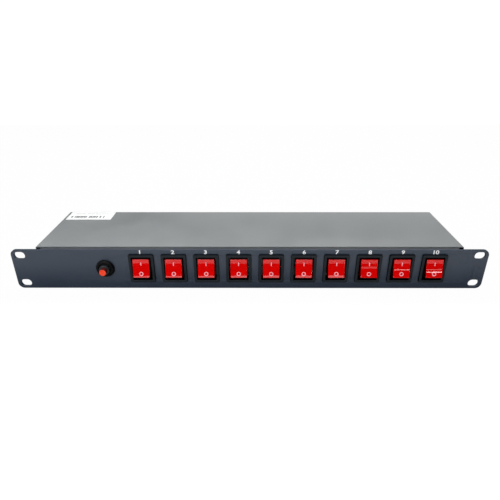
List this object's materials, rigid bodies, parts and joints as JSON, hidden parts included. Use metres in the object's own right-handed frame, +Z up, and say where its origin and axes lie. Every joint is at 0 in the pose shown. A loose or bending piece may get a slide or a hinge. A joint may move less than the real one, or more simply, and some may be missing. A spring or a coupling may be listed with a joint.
{
  "type": "rack power strip",
  "caption": "Rack-mount power strip: slotted front panel with lit rocker switches and a reset breaker, folded steel case, outlets and mains inlet at the rear.",
  "frame": {"origin": "centre of the four rack slots on the rear face of the front panel, which bears on the rack's rails", "axes": "+X to the right seen from the front, +Y from the front panel to the rear, +Z up"},
  "size_m": [0.4826, 0.117, 0.0444],
  "materials": {
    "panel_paint": "satin powder coat, charcoal with a blue cast",
    "cover_paint": "satin powder coat, dark grey",
    "tray_paint": "satin powder coat, dark grey",
    "zinc_steel": "zinc plated",
    "black_steel": "black zinc",
    "bezel_plastic": "fine moulded black",
    "black_plastic": "moulded black, half gloss",
    "outlet_plastic": "moulded black",
    "red_lens": "translucent red, polished",
    "reset_button": "orange-red, half gloss",
    "brass_contacts": "stamped",
    "copper_bar": "tinned or bare copper bar",
    "lamp_glass": "clear",
    "wire_insulation": "satin vinyl",
    "label_paper": "satin self-adhesive label"
  },
  "bodies": {
    "chassis": {"front_panel": "panel_paint", "panel_fixings": "zinc_steel", "chassis_tray": "tray_paint", "top_cover": "cover_paint", "cover_screws": "black_steel", "rating_label": "label_paper", "switch_terminals": "brass_contacts", "switch_lamps": "lamp_glass", "breaker_housing": "black_plastic", "breaker_terminals": "brass_contacts", "breaker_ring": "black_plastic", "outlet_contacts": "brass_contacts", "inlet_housing": "black_plastic", "inlet_pins": "brass_contacts", "rear_screws": "zinc_steel", "live_bus": "copper_bar", "neutral_bus": "copper_bar", "earth_bus": "copper_bar", "leads": "wire_insulation", "switch_housing_1": "bezel_plastic", "outlet_1": "outlet_plastic", "switch_housing_2": "bezel_plastic", "outlet_2": "outlet_plastic", "switch_housing_3": "bezel_plastic", "outlet_3": "outlet_plastic", "switch_housing_4": "bezel_plastic", "outlet_4": "outlet_plastic", "switch_housing_5": "bezel_plastic", "outlet_5": "outlet_plastic", "switch_housing_6": "bezel_plastic", "outlet_6": "outlet_plastic", "switch_housing_7": "bezel_plastic", "outlet_7": "outlet_plastic", "switch_housing_8": "bezel_plastic", "outlet_8": "outlet_plastic", "switch_housing_9": "bezel_plastic", "outlet_9": "outlet_plastic", "switch_housing_10": "bezel_plastic", "outlet_10": "outlet_plastic"},
    "breaker_button": {"breaker_button": "reset_button"},
    "rocker_1": {"rocker_1": "red_lens"},
    "contact_lever_1": {"contact_lever_1": "brass_contacts"},
    "rocker_2": {"rocker_2": "red_lens"},
    "contact_lever_2": {"contact_lever_2": "brass_contacts"},
    "rocker_3": {"rocker_3": "red_lens"},
    "contact_lever_3": {"contact_lever_3": "brass_contacts"},
    "rocker_4": {"rocker_4": "red_lens"},
    "contact_lever_4": {"contact_lever_4": "brass_contacts"},
    "rocker_5": {"rocker_5": "red_lens"},
    "contact_lever_5": {"contact_lever_5": "brass_contacts"},
    "rocker_6": {"rocker_6": "red_lens"},
    "contact_lever_6": {"contact_lever_6": "brass_contacts"},
    "rocker_7": {"rocker_7": "red_lens"},
    "contact_lever_7": {"contact_lever_7": "brass_contacts"},
    "rocker_8": {"rocker_8": "red_lens"},
    "contact_lever_8": {"contact_lever_8": "brass_contacts"},
    "rocker_9": {"rocker_9": "red_lens"},
    "contact_lever_9": {"contact_lever_9": "brass_contacts"},
    "rocker_10": {"rocker_10": "red_lens"},
    "contact_lever_10": {"contact_lever_10": "brass_contacts"}
  },
  "joints": [
    {"name": "rocker_1_hinge", "type": "hinge", "parent": "chassis", "child": "rocker_1", "pos_m": [-0.1097, 0.0015, 0.0016], "axis": [1, 0, 0], "range_deg": [0, 26]},
    {"name": "contact_lever_1_hinge", "type": "hinge", "parent": "chassis", "child": "contact_lever_1", "pos_m": [-0.1097, 0.0138, 0.0016], "axis": [1, 0, 0], "range_deg": [-16.01, 0]},
    {"name": "rocker_2_hinge", "type": "hinge", "parent": "chassis", "child": "rocker_2", "pos_m": [-0.0767, 0.0015, 0.0016], "axis": [1, 0, 0], "range_deg": [0, 26]},
    {"name": "contact_lever_2_hinge", "type": "hinge", "parent": "chassis", "child": "contact_lever_2", "pos_m": [-0.0767, 0.0138, 0.0016], "axis": [1, 0, 0], "range_deg": [-16.01, 0]},
    {"name": "rocker_3_hinge", "type": "hinge", "parent": "chassis", "child": "rocker_3", "pos_m": [-0.0437, 0.0015, 0.0016], "axis": [1, 0, 0], "range_deg": [0, 26]},
    {"name": "contact_lever_3_hinge", "type": "hinge", "parent": "chassis", "child": "contact_lever_3", "pos_m": [-0.0437, 0.0138, 0.0016], "axis": [1, 0, 0], "range_deg": [-16.01, 0]},
    {"name": "rocker_4_hinge", "type": "hinge", "parent": "chassis", "child": "rocker_4", "pos_m": [-0.0107, 0.0015, 0.0016], "axis": [1, 0, 0], "range_deg": [0, 26]},
    {"name": "contact_lever_4_hinge", "type": "hinge", "parent": "chassis", "child": "contact_lever_4", "pos_m": [-0.0107, 0.0138, 0.0016], "axis": [1, 0, 0], "range_deg": [-16.01, 0]},
    {"name": "rocker_5_hinge", "type": "hinge", "parent": "chassis", "child": "rocker_5", "pos_m": [0.0223, 0.0015, 0.0016], "axis": [1, 0, 0], "range_deg": [0, 26]},
    {"name": "contact_lever_5_hinge", "type": "hinge", "parent": "chassis", "child": "contact_lever_5", "pos_m": [0.0223, 0.0138, 0.0016], "axis": [1, 0, 0], "range_deg": [-16.01, 0]},
    {"name": "rocker_6_hinge", "type": "hinge", "parent": "chassis", "child": "rocker_6", "pos_m": [0.0553, 0.0015, 0.0016], "axis": [1, 0, 0], "range_deg": [0, 26]},
    {"name": "contact_lever_6_hinge", "type": "hinge", "parent": "chassis", "child": "contact_lever_6", "pos_m": [0.0553, 0.0138, 0.0016], "axis": [1, 0, 0], "range_deg": [-16.01, 0]},
    {"name": "rocker_7_hinge", "type": "hinge", "parent": "chassis", "child": "rocker_7", "pos_m": [0.0883, 0.0015, 0.0016], "axis": [1, 0, 0], "range_deg": [0, 26]},
    {"name": "contact_lever_7_hinge", "type": "hinge", "parent": "chassis", "child": "contact_lever_7", "pos_m": [0.0883, 0.0138, 0.0016], "axis": [1, 0, 0], "range_deg": [-16.01, 0]},
    {"name": "rocker_8_hinge", "type": "hinge", "parent": "chassis", "child": "rocker_8", "pos_m": [0.1213, 0.0015, 0.0016], "axis": [1, 0, 0], "range_deg": [0, 26]},
    {"name": "contact_lever_8_hinge", "type": "hinge", "parent": "chassis", "child": "contact_lever_8", "pos_m": [0.1213, 0.0138, 0.0016], "axis": [1, 0, 0], "range_deg": [-16.01, 0]},
    {"name": "rocker_9_hinge", "type": "hinge", "parent": "chassis", "child": "rocker_9", "pos_m": [0.1543, 0.0015, 0.0016], "axis": [1, 0, 0], "range_deg": [0, 26]},
    {"name": "contact_lever_9_hinge", "type": "hinge", "parent": "chassis", "child": "contact_lever_9", "pos_m": [0.1543, 0.0138, 0.0016], "axis": [1, 0, 0], "range_deg": [-16.01, 0]},
    {"name": "rocker_10_hinge", "type": "hinge", "parent": "chassis", "child": "rocker_10", "pos_m": [0.1873, 0.0015, 0.0016], "axis": [1, 0, 0], "range_deg": [0, 26]},
    {"name": "contact_lever_10_hinge", "type": "hinge", "parent": "chassis", "child": "contact_lever_10", "pos_m": [0.1873, 0.0138, 0.0016], "axis": [1, 0, 0], "range_deg": [-16.01, 0]},
    {"name": "breaker_button_slide", "type": "slide", "parent": "chassis", "child": "breaker_button", "axis": [0, 1, 0], "range_m": [0, 0.0035], "stiffness_N_per_m": 400}
  ],
  "couplings": [
    {"joint": "contact_lever_1_hinge", "follows": "rocker_1_hinge", "ratio": -0.6154},
    {"joint": "contact_lever_2_hinge", "follows": "rocker_2_hinge", "ratio": -0.6154},
    {"joint": "contact_lever_3_hinge", "follows": "rocker_3_hinge", "ratio": -0.6154},
    {"joint": "contact_lever_4_hinge", "follows": "rocker_4_hinge", "ratio": -0.6154},
    {"joint": "contact_lever_5_hinge", "follows": "rocker_5_hinge", "ratio": -0.6154},
    {"joint": "contact_lever_6_hinge", "follows": "rocker_6_hinge", "ratio": -0.6154},
    {"joint": "contact_lever_7_hinge", "follows": "rocker_7_hinge", "ratio": -0.6154},
    {"joint": "contact_lever_8_hinge", "follows": "rocker_8_hinge", "ratio": -0.6154},
    {"joint": "contact_lever_9_hinge", "follows": "rocker_9_hinge", "ratio": -0.6154},
    {"joint": "contact_lever_10_hinge", "follows": "rocker_10_hinge", "ratio": -0.6154}
  ]
}
